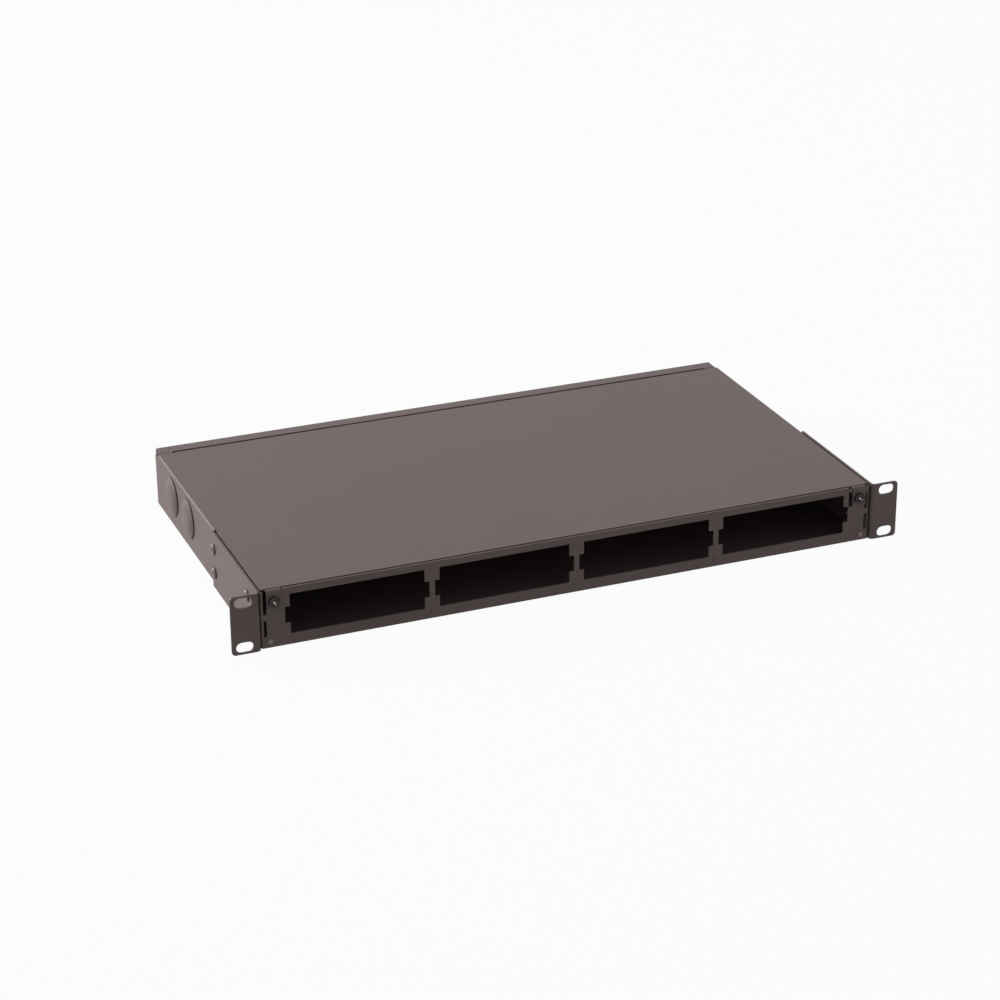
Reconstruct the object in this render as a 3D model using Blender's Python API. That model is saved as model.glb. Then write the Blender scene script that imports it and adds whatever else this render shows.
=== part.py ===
"""Fibre enclosure, one rack unit high, for a 19 inch rack.

Folded steel tray, four-bay front panel with side wings, tilt-off cover and
two L brackets.  Metres, +Z up, +X along the front from left to right as seen
by a person standing before it, +Y from the front to the rear.  The origin is
at the centre of the underside.
"""

import math

import bmesh
import bpy
from mathutils import Matrix, Vector

# Fits
FIT = 0.0003
SCREW_FIT = 0.0003

# Rack interface
EAR_SPAN = 0.4826
UNIT_HEIGHT = 0.0415
EAR_CORNER_RADIUS = 0.0025
RACK_SLOT_EDGE_INSET = 0.00875
RACK_SLOT_PITCH = 0.03175
RACK_SLOT_LENGTH = 0.0118
RACK_SLOT_HEIGHT = 0.0072

# Mounting brackets
BRACKET_SHEET = 0.0015
BRACKET_BEND = 0.0030
BRACKET_DEPTH = 0.1055
BRACKET_SCREW_SETBACK = 0.0240
BRACKET_SCREW_END_INSET = 0.0053
BRACKET_SCREW_PITCH_Z = 0.0176

# Sheet body
BODY_SHEET = 0.0012
BODY_BEND = 0.0016
EAR_REACH = 0.0219
PANEL_SETBACK = 0.0022
PANEL_TO_REAR = 0.2548
CORNER_RELIEF = 0.0024
REAR_SEAM = 0.0005

# Front panel
PANEL_TOP_DROP = 0.0003
BAY_COUNT = 4
BAY_POST = 0.0105
BAY_END_MARGIN = 0.0134
BAY_HEADER = 0.00525
BAY_SILL = 0.00795
BAY_NOTCH_DEPTH = 0.0034
BAY_NOTCH_HEIGHT = 0.0114
BAY_NOTCH_LOWERED = 0.0004
WING_END_BEFORE_BRACKET_END = 0.0011
END_SLOT_WIDTH = 0.0022
END_SLOT_LENGTH = 0.0116
END_SLOT_INSET = 0.0030
END_SLOT_PITCH = 0.0160
END_SLOT_LOWER_Z = 0.0140
PANEL_LIP_HEIGHT = 0.0072

# Top cover
COVER_FRONT_GAP = 0.0012
COVER_EDGE_GAP = 0.0016
COVER_SKIRT_CLEARANCE = 0.0005
COVER_SKIRT_FLOOR_GAP = 0.0010
COVER_SKIRT_SWING_GAP = 0.0005
TAB_WIDTH = 0.0098
TAB_DROP = 0.0138
TAB_CENTRE_INSET = 0.0091
TAB_NOTCH_CLEARANCE = 0.0008
COVER_SCREW_DROP = 0.0083
REAR_STRIP_WIDTH = 0.0123
REAR_STRIP_END_INSET = 0.0006
GROOVE_WIDTH = 0.0018
GROOVE_END_INSET = 0.0099
TONGUE_REACH = 0.0082
STRIP_LINE_GAP = 0.0005

# Knockouts in the cover skirt
KNOCKOUT_DIAMETER = 0.0280
KNOCKOUT_PITCH = 0.0406
KNOCKOUT_REAR_OFFSET = 0.0483
KNOCKOUT_RAISED = 0.00245
KNOCKOUT_PROUD = 0.0010
KNOCKOUT_EDGE = 0.0004
KNOCKOUT_PASSAGE = 0.0320

# Machine screws and clinch nuts
SCREW_DIAMETER = 0.0037
SCREW_HEAD_DIAMETER = 0.0080
SCREW_HEAD_HEIGHT = 0.0013
COVER_HEAD_HEIGHT = 0.0022
COVER_HEAD_GAP = 0.0004
SCREW_RECESS_SPAN = 0.0042
SCREW_RECESS_WIDTH = 0.0010
SCREW_RECESS_DEPTH = 0.0009
SCREW_TIP = 0.0012
SCREW_TIP_CHAMFER = 0.0004
HEAD_RIM_SHARE = 0.45
HEAD_SHOULDER_SHARE = 0.80
HEAD_SHOULDER_RADIUS_SHARE = 0.86
HEAD_TOP_RADIUS_SHARE = 0.60
NUT_BODY_DIAMETER = 0.0078
NUT_BODY_HEIGHT = 0.0026
NUT_PILOT_DIAMETER = 0.0056
NUT_PILOT_SETBACK = 0.0002
NUT_CHAMFER = 0.0003

# Panel rivets
PANEL_RIVET_DIAMETER = 0.0024
PANEL_RIVET_HEAD = 0.0036
PANEL_RIVET_HEAD_HEIGHT = 0.0004
PANEL_RIVET_TAIL = 0.0010
PANEL_RIVET_END_INSET = 0.0062
PANEL_RIVET_Z = 0.0046

# Slack spools
SPOOL_SIDE_GAP = 0.1132
SPOOL_REAR_OFFSET = 0.0760
SPOOL_HUB_DIAMETER = 0.0640
SPOOL_FLANGE_DIAMETER = 0.0900
SPOOL_HEIGHT = 0.0240
SPOOL_WALL = 0.0018
SPOOL_FOOT_WIDTH = 0.0100
SPOOL_FINGER_WIDTH = 0.0140
SPOOL_FINGER_COUNT = 4
SPOOL_RIM_HEIGHT = 0.0040
SNAP_RIVET_DIAMETER = 0.0036
SNAP_RIVET_HEAD = 0.0068
SNAP_RIVET_HEAD_HEIGHT = 0.0014

# Cable clips
CLIP_BASE = 0.0190
CLIP_BASE_HEIGHT = 0.0020
CLIP_LOOP_DIAMETER = 0.0120
CLIP_LOOP_WALL = 0.0014
CLIP_MOUTH = 0.0030
CLIP_WIDTH = 0.0100
CLIP_REAR_OFFSET = 0.1360

# Cable tie brackets
TIE_BRACKET_LENGTH = 0.0440
TIE_BRACKET_FOOT = 0.0120
TIE_BRACKET_HEIGHT = 0.0200
TIE_BRACKET_SIDE_GAP = 0.0322
TIE_BRACKET_REAR_OFFSET = 0.0500
TIE_SLOT_COUNT = 3
TIE_SLOT_PITCH = 0.0130
TIE_SLOT_WIDTH = 0.0060
TIE_SLOT_HEIGHT = 0.0100
TIE_RIVET_PITCH = 0.0300

# Ground stud
STUD_DIAMETER = 0.0060
STUD_LENGTH = 0.0150
STUD_CENTRE_X = -0.0300
STUD_CHAMFER = 0.0006
STUD_REAR_OFFSET = 0.0300
WASHER_DIAMETER = 0.0125
WASHER_HEIGHT = 0.0012
HEX_NUT_ACROSS_FLATS = 0.0100
HEX_NUT_HEIGHT = 0.0048

# Rear cable grommets
GROMMET_HOLE = 0.0260
GROMMET_FLANGE = 0.0320
GROMMET_LIP = 0.0018
GROMMET_BORE = 0.0180
GROMMET_MEMBRANE = 0.0012
GROMMET_CABLE_HOLE = 0.0060
GROMMET_SIDE_GAP = 0.0682
GROMMET_LOWERED = 0.00025

# Facet counts
ROUND_SMALL = 12
ROUND_HEAD = 16
ROUND_LARGE = 32
SWING_EDGE_STEPS = 10

# Places worked out from the sizes above
TRAY_WIDTH = EAR_SPAN - 2 * EAR_REACH
RACK_SLOT_SPAN = EAR_SPAN - 2 * RACK_SLOT_EDGE_INSET
TOP_Z = UNIT_HEIGHT
MIDDLE_Z = UNIT_HEIGHT / 2
UNDER_COVER_Z = TOP_Z - BODY_SHEET - FIT
HEAD_PROUD = COVER_HEAD_HEIGHT + COVER_HEAD_GAP + BODY_SHEET + FIT - PANEL_SETBACK
OVERALL_DEPTH = HEAD_PROUD + PANEL_SETBACK + PANEL_TO_REAR + GROMMET_LIP
EAR_FACE_Y = HEAD_PROUD - OVERALL_DEPTH / 2
PANEL_FACE_Y = EAR_FACE_Y + PANEL_SETBACK
PANEL_BACK_Y = PANEL_FACE_Y + BODY_SHEET
TRAY_FRONT_Y = PANEL_BACK_Y + FIT
REAR_Y = PANEL_FACE_Y + PANEL_TO_REAR
REAR_INSIDE_Y = REAR_Y - BODY_SHEET
TRAY_SIDE_X = TRAY_WIDTH / 2
TRAY_INSIDE_X = TRAY_SIDE_X - BODY_SHEET
SKIN_INSIDE_X = TRAY_SIDE_X + FIT
SKIN_X = SKIN_INSIDE_X + BODY_SHEET
BRACKET_INSIDE_X = SKIN_X + FIT
BRACKET_OUTSIDE_X = BRACKET_INSIDE_X + BRACKET_SHEET
BRACKET_SCREW_PITCH_Y = BRACKET_DEPTH - BRACKET_SCREW_SETBACK - BRACKET_SCREW_END_INSET
BRACKET_END_Y = EAR_FACE_Y + BRACKET_DEPTH
WING_END_Y = BRACKET_END_Y - WING_END_BEFORE_BRACKET_END
STRIP_FRONT_Y = REAR_Y - REAR_STRIP_WIDTH
COVER_REAR_Y = STRIP_FRONT_Y - STRIP_LINE_GAP
COVER_FRONT_Y = PANEL_BACK_Y + COVER_FRONT_GAP
COVER_EDGE_X = BRACKET_INSIDE_X - COVER_EDGE_GAP
HINGE_Y = COVER_REAR_Y + STRIP_LINE_GAP / 2
HINGE_Z = TOP_Z
WING_RADIUS = HINGE_Y - WING_END_Y
SKIRT_RADIUS = WING_RADIUS - COVER_SKIRT_CLEARANCE
REAR_SWING_RADIUS = HINGE_Z - COVER_SKIRT_SWING_GAP
REAR_SWING_Z = HINGE_Z - math.sqrt(REAR_SWING_RADIUS ** 2 - (REAR_Y - HINGE_Y) ** 2)
TAB_CENTRE_X = SKIN_X - TAB_CENTRE_INSET
GROOVE_HALF_LENGTH = TRAY_SIDE_X - GROOVE_END_INSET
TAB_FACE_Y = PANEL_FACE_Y - FIT - BODY_SHEET
HEAD_BACK_Y = TAB_FACE_Y - COVER_HEAD_GAP
COVER_SCREW_Z = TOP_Z - COVER_SCREW_DROP
SCREW_HOLE_RADIUS = SCREW_DIAMETER / 2 + SCREW_FIT
NUT_HOLE_RADIUS = NUT_PILOT_DIAMETER / 2 + FIT
KNOCKOUT_CENTRE_Z = MIDDLE_Z + KNOCKOUT_RAISED
KNOCKOUT_Y = (REAR_Y - KNOCKOUT_REAR_OFFSET, REAR_Y - KNOCKOUT_REAR_OFFSET - KNOCKOUT_PITCH)
BRACKET_SCREW_PLACES = [
    (EAR_FACE_Y + BRACKET_SCREW_SETBACK + step * BRACKET_SCREW_PITCH_Y,
     MIDDLE_Z + side * BRACKET_SCREW_PITCH_Z / 2)
    for step in (0, 1) for side in (-1, 1)]
CORNERS = ("front_lower", "front_upper", "rear_lower", "rear_upper")
SPOOL_CENTRE_X = TRAY_INSIDE_X - SPOOL_SIDE_GAP
SPOOL_Y = REAR_Y - SPOOL_REAR_OFFSET
TIE_BRACKET_CENTRE_X = TRAY_INSIDE_X - TIE_BRACKET_SIDE_GAP
GROMMET_CENTRE_X = TRAY_INSIDE_X - GROMMET_SIDE_GAP
GROMMET_CENTRE_Z = MIDDLE_Z - GROMMET_LOWERED
TRAY_FLOOR_Z = BODY_SHEET + FIT
BAY_PITCH = (TRAY_WIDTH - 2 * BAY_END_MARGIN) / BAY_COUNT
BAY_WIDTH = BAY_PITCH - BAY_POST
BAY_LOW_Z = BAY_SILL
BAY_HIGH_Z = UNIT_HEIGHT - BAY_HEADER
BAY_NOTCH_Z = (BAY_LOW_Z + BAY_HIGH_Z) / 2 - BAY_NOTCH_LOWERED
BAY_CENTRES_X = [(bay - (BAY_COUNT - 1) / 2) * BAY_PITCH for bay in range(BAY_COUNT)]
END_SLOT_X = SKIN_X - END_SLOT_INSET
PANEL_RIVETS_X = [-(SKIN_X - PANEL_RIVET_END_INSET), SKIN_X - PANEL_RIVET_END_INSET] + [
    (left + right) / 2 for left, right in zip(BAY_CENTRES_X, BAY_CENTRES_X[1:])]
SNAP_RIVET_RADIUS_PLACE = SPOOL_HUB_DIAMETER / 2 - SPOOL_WALL - SPOOL_FOOT_WIDTH / 2
SNAP_HOLE_RADIUS = SNAP_RIVET_DIAMETER / 2 + FIT


def clear_scene():
    """Empty the file of whatever objects it opened with."""
    for old in list(bpy.data.objects):
        bpy.data.objects.remove(old, do_unlink=True)


def finish(name, colour, roughness, metallic):
    """A plain material for one sub-part."""
    made = bpy.data.materials.new(name)
    made.use_nodes = True
    shader = made.node_tree.nodes["Principled BSDF"]
    shader.inputs["Base Color"].default_value = (*colour, 1.0)
    shader.inputs["Roughness"].default_value = roughness
    shader.inputs["Metallic"].default_value = metallic
    return made


def powder_coat(name):
    """Satin dark grey-brown powder coat on steel."""
    return finish(name, (0.165, 0.140, 0.137), 0.48, 0.0)


def plated_steel(name):
    """Bright zinc plating, as on nuts and studs."""
    return finish(name, (0.62, 0.61, 0.58), 0.32, 1.0)


def black_screw(name):
    """Black oxide steel."""
    return finish(name, (0.035, 0.033, 0.033), 0.30, 0.8)


def dark_plastic(name):
    """Moulded black nylon."""
    return finish(name, (0.030, 0.030, 0.032), 0.45, 0.0)


def soft_rubber(name):
    """Soft black rubber."""
    return finish(name, (0.022, 0.022, 0.022), 0.70, 0.0)


def put_in_scene(name, shape, material=None):
    """Turn a bmesh into an object whose origin is its own location."""
    bmesh.ops.recalc_face_normals(shape, faces=shape.faces)
    mesh = bpy.data.meshes.new(name)
    shape.to_mesh(mesh)
    shape.free()
    made = bpy.data.objects.new(name, mesh)
    bpy.context.scene.collection.objects.link(made)
    if material:
        mesh.materials.append(material)
        mesh.shade_smooth()
        mesh.set_sharp_from_angle(angle=math.radians(32))
    return made


def move_origin(made, place):
    """Shift an object's origin to a point, leaving its solid where it is."""
    made.data.transform(Matrix.Translation(-Vector(place)))
    made.location = place


def cut(made, tools):
    """Take a set of closed tool shapes out of an object."""
    cutter = put_in_scene(made.name + "_cutouts", tools)
    cutter.hide_render = True
    cutter.display_type = "WIRE"
    boolean = made.modifiers.new("cutouts", "BOOLEAN")
    boolean.object = cutter
    boolean.operation = "DIFFERENCE"
    boolean.solver = "EXACT"


def arc(centre_u, centre_v, radius, start, stop, steps):
    """Points of an arc, angles in degrees, both ends included."""
    angles = [math.radians(start + (stop - start) * step / steps) for step in range(steps + 1)]
    return [(centre_u + radius * math.cos(turn), centre_v + radius * math.sin(turn))
            for turn in angles]


def circle(centre_u, centre_v, radius, steps):
    """A closed round outline."""
    return arc(centre_u, centre_v, radius, 0, 360, steps)[:-1]


def slot(centre_u, centre_v, length, height, steps=8):
    """A closed outline with straight long sides and round ends."""
    reach = (length - height) / 2
    return (arc(centre_u + reach, centre_v, height / 2, -90, 90, steps)
            + arc(centre_u - reach, centre_v, height / 2, 90, 270, steps))


def rectangle(low_u, high_u, low_v, high_v):
    """A closed square-cornered outline."""
    return [(low_u, low_v), (high_u, low_v), (high_u, high_v), (low_u, high_v)]


def at(axis, along, point):
    """A point given in a plane, placed at a distance along the plane's axis."""
    u, v = point
    return {"X": (along, u, v), "Y": (u, along, v), "Z": (u, v, along)}[axis]


def extrude(shape, outline, axis, low, high):
    """Add a closed prism: the outline swept from low to high along an axis."""
    corners = [shape.verts.new(at(axis, low, point)) for point in outline]
    base = shape.faces.new(corners)
    swept = bmesh.ops.extrude_face_region(shape, geom=[base])
    lifted = [item for item in swept["geom"] if isinstance(item, bmesh.types.BMVert)]
    bmesh.ops.translate(shape, verts=lifted, vec=at(axis, high - low, (0, 0)))


def turn_profile(shape, profile, place, direction, steps):
    """Add a turned solid: (radius, height) points spun about an axis through a place."""
    spun = bmesh.new()
    corners = [spun.verts.new((radius, 0.0, height)) for radius, height in profile]
    edges = [spun.edges.new(pair) for pair in zip(corners, corners[1:] + corners[:1])]
    bmesh.ops.spin(spun, geom=corners + edges, cent=(0, 0, 0), axis=(0, 0, 1),
                   angle=2 * math.pi, steps=steps, use_merge=True)
    bmesh.ops.remove_doubles(spun, verts=spun.verts, dist=0.000001)
    bmesh.ops.dissolve_degenerate(spun, dist=0.000001, edges=spun.edges)
    axis_turn = Vector((0, 0, 1)).rotation_difference(Vector(direction)).to_matrix().to_4x4()
    spun.transform(Matrix.Translation(place) @ axis_turn)
    bmesh.ops.recalc_face_normals(spun, faces=spun.faces)
    part = bpy.data.meshes.new("turned")
    spun.to_mesh(part)
    spun.free()
    shape.from_mesh(part)
    bpy.data.meshes.remove(part)


def fold_sheet(name, panels, outward, thickness, bend, material, segments=3):
    """Fold a sheet: flat panels of its outer skin share edges, each shared edge is bent to
    a radius, and the skin is given its thickness inwards.  The first panel faces outward."""
    skin = bmesh.new()
    corners = {}
    for outline in panels:
        loop = []
        for point in outline:
            key = tuple(round(value, 7) for value in point)
            if key not in corners:
                corners[key] = skin.verts.new(point)
            loop.append(corners[key])
        skin.faces.new(loop)
    bmesh.ops.recalc_face_normals(skin, faces=skin.faces)
    skin.faces.ensure_lookup_table()
    if skin.faces[0].normal.dot(Vector(outward)) < 0:
        bmesh.ops.reverse_faces(skin, faces=skin.faces)
    folds = {}
    for edge in skin.edges:
        if len(edge.link_faces) == 2:
            folds.setdefault(round(edge.calc_face_angle(), 2), []).append(edge)
    for angle in sorted(folds):
        bmesh.ops.bevel(skin, geom=folds[angle], offset=bend * math.tan(angle / 2),
                        offset_type="OFFSET", segments=segments, profile=0.5, affect="EDGES")
    mesh = bpy.data.meshes.new(name)
    skin.to_mesh(mesh)
    skin.free()
    made = bpy.data.objects.new(name, mesh)
    bpy.context.scene.collection.objects.link(made)
    mesh.materials.append(material)
    mesh.shade_smooth()
    mesh.set_sharp_from_angle(angle=math.radians(32))
    wall = made.modifiers.new("sheet", "SOLIDIFY")
    wall.thickness = thickness
    wall.offset = -1.0
    wall.use_even_offset = True
    wall.use_quality_normals = True
    return made


def base_tray():
    """Bottom, side walls, front lip, rear wall and the strip folded forward over it."""
    side_top = UNDER_COVER_Z
    relief = CORNER_RELIEF
    wall_rear = REAR_INSIDE_Y - REAR_SEAM
    front_fold_x = TRAY_SIDE_X - relief
    side_fold_front = TRAY_FRONT_Y + relief
    side_fold_rear = wall_rear - relief
    rear_fold_x = TRAY_SIDE_X - relief
    strip_x = TRAY_SIDE_X - REAR_STRIP_END_INSET
    floor = [(-front_fold_x, TRAY_FRONT_Y, 0), (-front_fold_x, side_fold_front, 0),
             (-TRAY_SIDE_X, side_fold_front, 0), (-TRAY_SIDE_X, side_fold_rear, 0),
             (-rear_fold_x, side_fold_rear, 0), (-rear_fold_x, REAR_Y, 0),
             (rear_fold_x, REAR_Y, 0), (rear_fold_x, side_fold_rear, 0),
             (TRAY_SIDE_X, side_fold_rear, 0), (TRAY_SIDE_X, side_fold_front, 0),
             (front_fold_x, side_fold_front, 0), (front_fold_x, TRAY_FRONT_Y, 0)]
    walls = []
    for x in (-TRAY_SIDE_X, TRAY_SIDE_X):
        walls.append([(x, side_fold_front, 0), (x, side_fold_front, relief),
                      (x, TRAY_FRONT_Y, relief), (x, TRAY_FRONT_Y, side_top),
                      (x, wall_rear, side_top), (x, wall_rear, relief),
                      (x, side_fold_rear, relief), (x, side_fold_rear, 0)])
    lip = [(-front_fold_x, TRAY_FRONT_Y, 0), (front_fold_x, TRAY_FRONT_Y, 0),
           (front_fold_x, TRAY_FRONT_Y, PANEL_LIP_HEIGHT),
           (-front_fold_x, TRAY_FRONT_Y, PANEL_LIP_HEIGHT)]
    rear = [(rear_fold_x, REAR_Y, 0), (-rear_fold_x, REAR_Y, 0), (-rear_fold_x, REAR_Y, relief),
            (-strip_x, REAR_Y, relief), (-strip_x, REAR_Y, TOP_Z), (strip_x, REAR_Y, TOP_Z),
            (strip_x, REAR_Y, relief), (rear_fold_x, REAR_Y, relief)]
    groove_y = COVER_REAR_Y + GROOVE_WIDTH
    strip = [(-strip_x, REAR_Y, TOP_Z), (-strip_x, STRIP_FRONT_Y, TOP_Z),
             (-GROOVE_HALF_LENGTH, STRIP_FRONT_Y, TOP_Z), (-GROOVE_HALF_LENGTH, groove_y, TOP_Z),
             (GROOVE_HALF_LENGTH, groove_y, TOP_Z), (GROOVE_HALF_LENGTH, STRIP_FRONT_Y, TOP_Z),
             (strip_x, STRIP_FRONT_Y, TOP_Z), (strip_x, REAR_Y, TOP_Z)]
    made = fold_sheet("base_tray", [floor, *walls, lip, rear, strip], (0, 0, -1), BODY_SHEET,
                      BODY_BEND, powder_coat("tray_powder_coat"))
    tools = bmesh.new()
    past = 3 * BODY_SHEET
    for side in (-1, 1):
        inside = side * (TRAY_SIDE_X - past)
        outside = side * (TRAY_SIDE_X + past)
        for y, z in BRACKET_SCREW_PLACES:
            extrude(tools, circle(y, z, NUT_HOLE_RADIUS, ROUND_SMALL), "X", inside, outside)
        for y in KNOCKOUT_Y:
            passage = arc(y, KNOCKOUT_CENTRE_Z, KNOCKOUT_PASSAGE / 2, 180, 360, ROUND_LARGE // 2)
            passage += [(y + KNOCKOUT_PASSAGE / 2, TOP_Z), (y - KNOCKOUT_PASSAGE / 2, TOP_Z)]
            extrude(tools, passage, "X", inside, outside)
        extrude(tools, circle(side * GROMMET_CENTRE_X, GROMMET_CENTRE_Z,
                              GROMMET_HOLE / 2 + FIT, ROUND_LARGE),
                "Y", REAR_Y - past, REAR_Y + past)
        for x, y in spool_rivet_places(side) + tie_rivet_places(side):
            extrude(tools, circle(x, y, SNAP_HOLE_RADIUS, ROUND_SMALL), "Z", -past, past)
    for x in PANEL_RIVETS_X:
        extrude(tools, circle(x, PANEL_RIVET_Z, PANEL_RIVET_DIAMETER / 2 + FIT, ROUND_SMALL),
                "Y", TRAY_FRONT_Y - past, TRAY_FRONT_Y + past)
    extrude(tools, circle(STUD_CENTRE_X, REAR_Y - STUD_REAR_OFFSET, STUD_DIAMETER / 2 + FIT,
                          ROUND_SMALL), "Z", -past, past)
    cut(made, tools)


def bay_outline(centre_x):
    """One panel opening: a wide window with a shallow notch in the middle of each end."""
    low = BAY_LOW_Z
    high = BAY_HIGH_Z
    notch_low = BAY_NOTCH_Z - BAY_NOTCH_HEIGHT / 2
    notch_high = BAY_NOTCH_Z + BAY_NOTCH_HEIGHT / 2
    right = [(BAY_WIDTH / 2, low), (BAY_WIDTH / 2, notch_low),
             (BAY_WIDTH / 2 + BAY_NOTCH_DEPTH, notch_low),
             (BAY_WIDTH / 2 + BAY_NOTCH_DEPTH, notch_high),
             (BAY_WIDTH / 2, notch_high), (BAY_WIDTH / 2, high)]
    left = [(-x, z) for x, z in reversed(right)]
    return [(centre_x + x, z) for x, z in right + left]


def front_panel():
    """Face with four bays, and a wing folded back along each side of the tray."""
    top = TOP_Z - PANEL_TOP_DROP
    low = FIT
    under = UNDER_COVER_Z
    notch_x = TAB_CENTRE_X - TAB_WIDTH / 2 - TAB_NOTCH_CLEARANCE
    outline = [(-SKIN_X, low), (-SKIN_X, under), (-notch_x, under), (-notch_x, top),
               (notch_x, top), (notch_x, under), (SKIN_X, under), (SKIN_X, low)]
    face = [(x, PANEL_FACE_Y, z) for x, z in outline]
    wings = [[(side * SKIN_X, PANEL_FACE_Y, low), (side * SKIN_X, PANEL_FACE_Y, under)]
             + [(side * SKIN_X, y, z) for y, z in reversed(swing_edge(WING_RADIUS, -1, low, under))]
             for side in (-1, 1)]
    made = fold_sheet("front_panel", [face, *wings], (0, -1, 0), BODY_SHEET, BODY_BEND,
                      powder_coat("panel_powder_coat"))
    tools = bmesh.new()
    front = PANEL_FACE_Y - BODY_SHEET
    back = PANEL_BACK_Y + BODY_SHEET
    for centre_x in BAY_CENTRES_X:
        extrude(tools, bay_outline(centre_x), "Y", front, back)
    for side in (-1, 1):
        for step in (0, 1):
            extrude(tools, slot_upright(side * END_SLOT_X, END_SLOT_LOWER_Z + step * END_SLOT_PITCH),
                    "Y", front, back)
        extrude(tools, circle(side * TAB_CENTRE_X, COVER_SCREW_Z, NUT_HOLE_RADIUS, ROUND_SMALL),
                "Y", front, back)
        for y, z in BRACKET_SCREW_PLACES:
            extrude(tools, circle(y, z, SCREW_HOLE_RADIUS, ROUND_SMALL), "X",
                    side * (SKIN_X - 2 * BODY_SHEET), side * (SKIN_X + BODY_SHEET))
    for x in PANEL_RIVETS_X:
        extrude(tools, circle(x, PANEL_RIVET_Z, PANEL_RIVET_DIAMETER / 2 + FIT, ROUND_SMALL),
                "Y", front, back)
    cut(made, tools)


def slot_upright(centre_x, centre_z):
    """A narrow vertical slot with square ends."""
    return rectangle(centre_x - END_SLOT_WIDTH / 2, centre_x + END_SLOT_WIDTH / 2,
                     centre_z - END_SLOT_LENGTH / 2, centre_z + END_SLOT_LENGTH / 2)


def top_cover():
    """Lid with side skirts behind the brackets, two front tabs and a rear tongue."""
    relief = CORNER_RELIEF
    inner_x = SKIN_X - relief
    skirt_front = HINGE_Y - SKIRT_RADIUS
    skirt_rear = COVER_REAR_Y - BODY_SHEET / 2
    tongue_x = GROOVE_HALF_LENGTH - TAB_NOTCH_CLEARANCE
    notch_x = tongue_x + BODY_SHEET
    notch_y = COVER_REAR_Y - 1.5 * BODY_SHEET
    drop = BODY_SHEET + FIT
    joggle_y = COVER_REAR_Y + GROOVE_WIDTH - 2 * FIT
    tab = TAB_WIDTH / 2

    right = [(TAB_CENTRE_X - tab, COVER_FRONT_Y), (TAB_CENTRE_X - tab, TAB_FACE_Y),
             (TAB_CENTRE_X + tab, TAB_FACE_Y), (TAB_CENTRE_X + tab, COVER_FRONT_Y),
             (COVER_EDGE_X, COVER_FRONT_Y), (COVER_EDGE_X, skirt_front - relief / 2),
             (inner_x, skirt_front - relief / 2), (inner_x, skirt_front), (SKIN_X, skirt_front),
             (SKIN_X, skirt_rear), (inner_x, skirt_rear), (inner_x, COVER_REAR_Y),
             (notch_x, COVER_REAR_Y), (notch_x, notch_y), (tongue_x, notch_y),
             (tongue_x, COVER_REAR_Y)]
    left = [(-x, y) for x, y in reversed(right)]
    lid = [(x, y, TOP_Z) for x, y in right + left]
    panels = [lid]
    for side in (-1, 1):
        x = side * SKIN_X
        low = COVER_SKIRT_FLOOR_GAP
        flag_top = TOP_Z - relief
        edge = swing_edge(SKIRT_RADIUS, -1, low, TOP_Z)
        rear_edge = swing_edge(REAR_SWING_RADIUS, 1, low, REAR_SWING_Z)
        panels.append([(x, skirt_rear, TOP_Z), (x, skirt_rear, flag_top), (x, REAR_Y, flag_top)]
                      + [(x, y, z) for y, z in reversed(rear_edge)] + [(x, y, z) for y, z in edge])
        centre = side * TAB_CENTRE_X
        panels.append([(centre - tab, TAB_FACE_Y, TOP_Z), (centre - tab, TAB_FACE_Y, TOP_Z - TAB_DROP),
                       (centre + tab, TAB_FACE_Y, TOP_Z - TAB_DROP), (centre + tab, TAB_FACE_Y, TOP_Z)])
    panels.append([(tongue_x, COVER_REAR_Y, TOP_Z), (tongue_x, joggle_y, TOP_Z - drop),
                   (-tongue_x, joggle_y, TOP_Z - drop), (-tongue_x, COVER_REAR_Y, TOP_Z)])
    tongue_end = joggle_y + TONGUE_REACH
    panels.append([(tongue_x, joggle_y, TOP_Z - drop), (tongue_x, tongue_end, TOP_Z - drop),
                   (-tongue_x, tongue_end, TOP_Z - drop), (-tongue_x, joggle_y, TOP_Z - drop)])
    made = fold_sheet("top_cover", panels, (0, 0, 1), BODY_SHEET, BODY_BEND,
                      powder_coat("cover_powder_coat"))
    tools = bmesh.new()
    for side in (-1, 1):
        centre = side * TAB_CENTRE_X
        keyway = (arc(centre, COVER_SCREW_Z, SCREW_HOLE_RADIUS + FIT, 0, 180, ROUND_SMALL // 2)
                  + [(centre - SCREW_HOLE_RADIUS - FIT, COVER_SCREW_Z - TAB_DROP),
                     (centre + SCREW_HOLE_RADIUS + FIT, COVER_SCREW_Z - TAB_DROP)])
        extrude(tools, keyway, "Y", TAB_FACE_Y - BODY_SHEET, TAB_FACE_Y + 1.1 * BODY_SHEET)
        for y in KNOCKOUT_Y:
            extrude(tools, circle(y, KNOCKOUT_CENTRE_Z, KNOCKOUT_DIAMETER / 2 + FIT, ROUND_LARGE),
                    "X", side * (SKIN_X - 2 * BODY_SHEET), side * (SKIN_X + BODY_SHEET))
    cut(made, tools)
    move_origin_with_cutter(made)


def swing_edge(radius, way, low, high):
    """An edge that rises from low to high on an arc about the tilt line, before it (way -1)
    or behind it (way 1), so that a skirt swings clear of its neighbours."""
    edge = []
    for step in range(SWING_EDGE_STEPS + 1):
        z = low + (high - low) * step / SWING_EDGE_STEPS
        edge.append((HINGE_Y + way * math.sqrt(radius ** 2 - (HINGE_Z - z) ** 2), z))
    return edge


def move_origin_with_cutter(made):
    """Put a cover and its cutter on the tilt line, so that both turn about it."""
    hinge = (0, HINGE_Y, HINGE_Z)
    move_origin(made, hinge)
    cutter = made.modifiers["cutouts"].object
    move_origin(cutter, hinge)


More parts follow.
